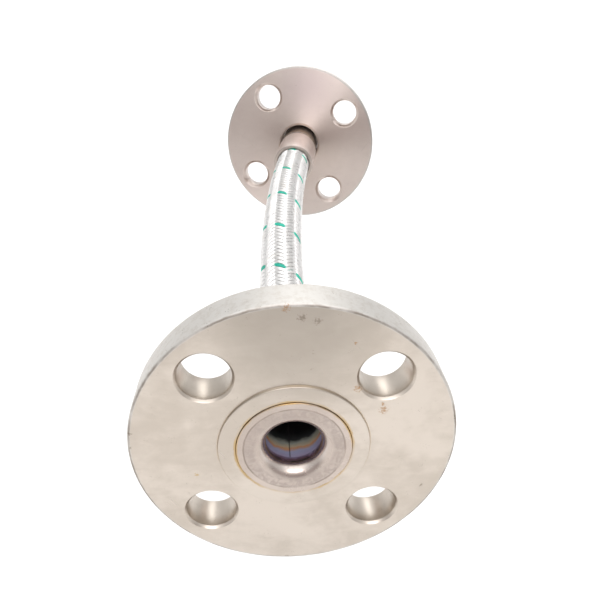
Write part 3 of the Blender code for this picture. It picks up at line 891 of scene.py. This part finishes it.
def wire_points(start, end, hand, carrier, offset):
    """The line of one wire, from one cut to the next, in steps of half a crossing."""
    crossing = LEAD / (2 * CARRIERS)
    steps = round((end - start) / (crossing / 2))
    points = []
    for step in range(steps + 1):
        distance = start + (end - start) * step / steps
        shifted = distance + LAY_START + offset
        turn = shifted / LEAD
        angle = CLOCK + 2 * math.pi * (carrier / CARRIERS + hand * turn)
        beat = 2 * CARRIERS * turn
        phase = (beat + 2 * carrier if hand > 0 else 2 * carrier - beat) % 4
        wave = math.cos(math.pi * (phase - 0.5) / 2) * hand
        lift = WIRE_RADIUS * max(-1.0, min(1.0, 1.5 * wave))
        middle, side, upward = route_axes(distance)
        reach = BRAID_MIDDLE + lift
        points.append(middle + side * (math.cos(angle) * reach) + upward * (math.sin(angle) * reach))
    return points


def wind_wires(name, start, end, carriers):
    """Wires of some carriers between two cuts, as round closed strands in one mesh."""
    strands = bpy.data.curves.new(name, "CURVE")
    strands.dimensions = "3D"
    strands.bevel_depth = WIRE_RADIUS
    strands.bevel_resolution = 1
    strands.use_fill_caps = True
    for hand, carrier in carriers:
        for wire in range(WIRES):
            points = wire_points(start, end, hand, carrier, (wire - (WIRES - 1) / 2) * WIRE_SPACING)
            line = strands.splines.new("POLY")
            line.points.add(len(points) - 1)
            for knot, point in zip(line.points, points):
                knot.co = (*point, 1)
    wound = bpy.data.objects.new(name, strands)
    bpy.context.scene.collection.objects.link(wound)
    bpy.ops.object.select_all(action="DESELECT")
    wound.select_set(True)
    bpy.context.view_layer.objects.active = wound
    bpy.ops.object.convert(target="MESH")
    wound = bpy.context.object
    wound.name = name
    smooth(wound, 80)
    return wound


def wire_metal(name, pale, dark, metallic, sheen):
    material, tree, shader, on_bench = steel_bench(name, NEAR_PLACE)
    tone = noise_of(tree, on_bench, 420.0, 3.0, 0.6)
    grime = rescale(tree, noise_of(tree, on_bench, 95.0, 3.0), 0.52, 0.72)
    colour = mix_colours(tree, rescale(tree, tone, 0.32, 0.68), dark, pale)
    colour = mix_colours(tree, calculate(tree, "MULTIPLY", grime, 0.18), colour, (0.42, 0.36, 0.26, 1))
    tree.links.new(colour, shader.inputs["Base Color"])
    shader.inputs["Metallic"].default_value = metallic
    tree.links.new(rescale(tree, tone, 0.3, 0.7, sheen, sheen + 0.14), shader.inputs["Roughness"])
    drawn = noise_of(tree, on_bench, 2600.0, 2.0)
    tree.links.new(bumped(tree, drawn, 0.12, 0.00005), shader.inputs["Normal"])
    return material


bright_wire = wire_metal("bright_wire", (0.82, 0.81, 0.80, 1), (0.73, 0.72, 0.71, 1), 1.0, 0.26)
green_wire = wire_metal("green_tracer_wire", (0.02, 0.50, 0.36, 1), (0.01, 0.38, 0.28, 1), 0.15, 0.30)
bright_carriers = [(hand, carrier) for hand in (1, -1) for carrier in range(CARRIERS)]
bright_carriers.remove((1, TRACER))
for stretch in range(4):
    start, end = CUTS[stretch], CUTS[stretch + 1]
    braid = wind_wires(f"wire_braid_{stretch + 1}", start, end, bright_carriers)
    tracer = wind_wires(f"tracer_wire_{stretch + 1}", start, end, [(1, TRACER)])
    for piece in (braid, tracer):
        bend_with_hose(piece)
    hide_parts(f"braid_link_{stretch + 1}")
    braid.data.materials.append(bright_wire)
    tracer.data.materials.append(green_wire)
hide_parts("braid_link_5")

# ---------------------------------------------------------------------------------------------------------
# The studio: a pale floor, an even white surround and a soft light. The floor lies low enough for the far
# flange to clear it when the hose bends down.
FLOOR_DROP = 90 * MM
bpy.ops.object.select_all(action="DESELECT")
bpy.ops.mesh.primitive_plane_add(size=6, location=(0, 0, -FLOOR_DROP))
floor = bpy.context.object
floor.name = "studio_floor"
floor_paint = bpy.data.materials.new("studio_floor_paint")
floor_paint.use_nodes = True
floor_shader = floor_paint.node_tree.nodes["Principled BSDF"]
floor_shader.inputs["Base Color"].default_value = (0.9, 0.9, 0.9, 1)
floor_shader.inputs["Roughness"].default_value = 0.8
floor.data.materials.append(floor_paint)

# What the steel reflects is bright overhead, pale at the back with one tall window behind the far end, and
# a darker room in front. Looked at directly, the surround is plain white.
world = bpy.data.worlds.new("studio_surround")
world.use_nodes = True
bpy.context.scene.world = world
bpy.context.scene.view_settings.view_transform = "Standard"
sky = world.node_tree
outward = add_node(sky, "ShaderNodeTexCoord").outputs["Generated"]
heading = add_node(sky, "ShaderNodeSeparateXYZ", {0: outward}).outputs
overhead = rescale(sky, heading["Z"], 0.62, 0.95)
bearing = calculate(sky, "ARCTAN2", heading["X"], heading["Y"])
window_left = rescale(sky, bearing, -0.12, -0.02)
window_right = rescale(sky, bearing, 0.26, 0.36, 1.0, 0.0)
window = calculate(sky, "MULTIPLY", window_left, window_right)
window = calculate(sky, "MULTIPLY", window, rescale(sky, heading["Z"], 0.22, 0.34))
room_foot = rescale(sky, heading["Z"], 0.07, 0.13)
room_head = rescale(sky, heading["Z"], 0.28, 0.48, 1.0, 0.0)
room = calculate(sky, "MULTIPLY", room_foot, room_head)
room = calculate(sky, "MULTIPLY", rescale(sky, heading["Y"], -0.25, -0.75, 0.0, 1.0), room)
strength = calculate(sky, "MULTIPLY_ADD", overhead, 1.1, 0.84)
strength = calculate(sky, "MULTIPLY_ADD", window, 1.7, strength)
seen = add_node(sky, "ShaderNodeLightPath").outputs["Is Camera Ray"]
room = calculate(sky, "MULTIPLY", room, calculate(sky, "SUBTRACT", 1.0, seen))
strength = calculate(sky, "MAXIMUM", strength, seen)
background = sky.nodes["Background"]
sky.links.new(mix_colours(sky, room, (1, 1, 1, 1), (0.52, 0.44, 0.45, 1)), background.inputs["Color"])
sky.links.new(strength, background.inputs["Strength"])

# One soft light hangs in front of the near flange, above the camera.
lamp = bpy.data.lights.new("key_softbox", "AREA")
lamp.shape = "RECTANGLE"
lamp.size = 0.44
lamp.size_y = 0.22
lamp.energy = 1.5
lamp.color = (1.0, 0.94, 0.95)
softbox = bpy.data.objects.new("key_softbox", lamp)
softbox.location = (0, -0.62, 0.58)
softbox.rotation_mode = "QUATERNION"
softbox.rotation_quaternion = (Vector((0, -0.14, 0.05)) - softbox.location).to_track_quat("-Z", "Y")
bpy.context.scene.collection.objects.link(softbox)

# The camera stands in front of the near flange and looks down along the hose.
CAMERA_SPOT = Vector((-5.6, -132.4, 121.4)) * MM
CAMERA_TURN = [math.radians(degrees) for degrees in (61.21, 0.33, -3.44)]
camera_data = bpy.data.cameras.new("camera")
camera_data.sensor_width = 36
camera_data.lens = 36.19
camera_data.clip_start = 0.005
camera = bpy.data.objects.new("camera", camera_data)
bpy.context.scene.collection.objects.link(camera)
near_upright = NEAR_PLACE @ Matrix(((-1, 0, 0, 0), (0, 0, 1, 0), (0, 1, 0, 0), (0, 0, 0, 1)))
camera.matrix_world = near_upright @ Matrix.LocRotScale(CAMERA_SPOT, Euler(CAMERA_TURN), None)
bpy.context.scene.camera = camera
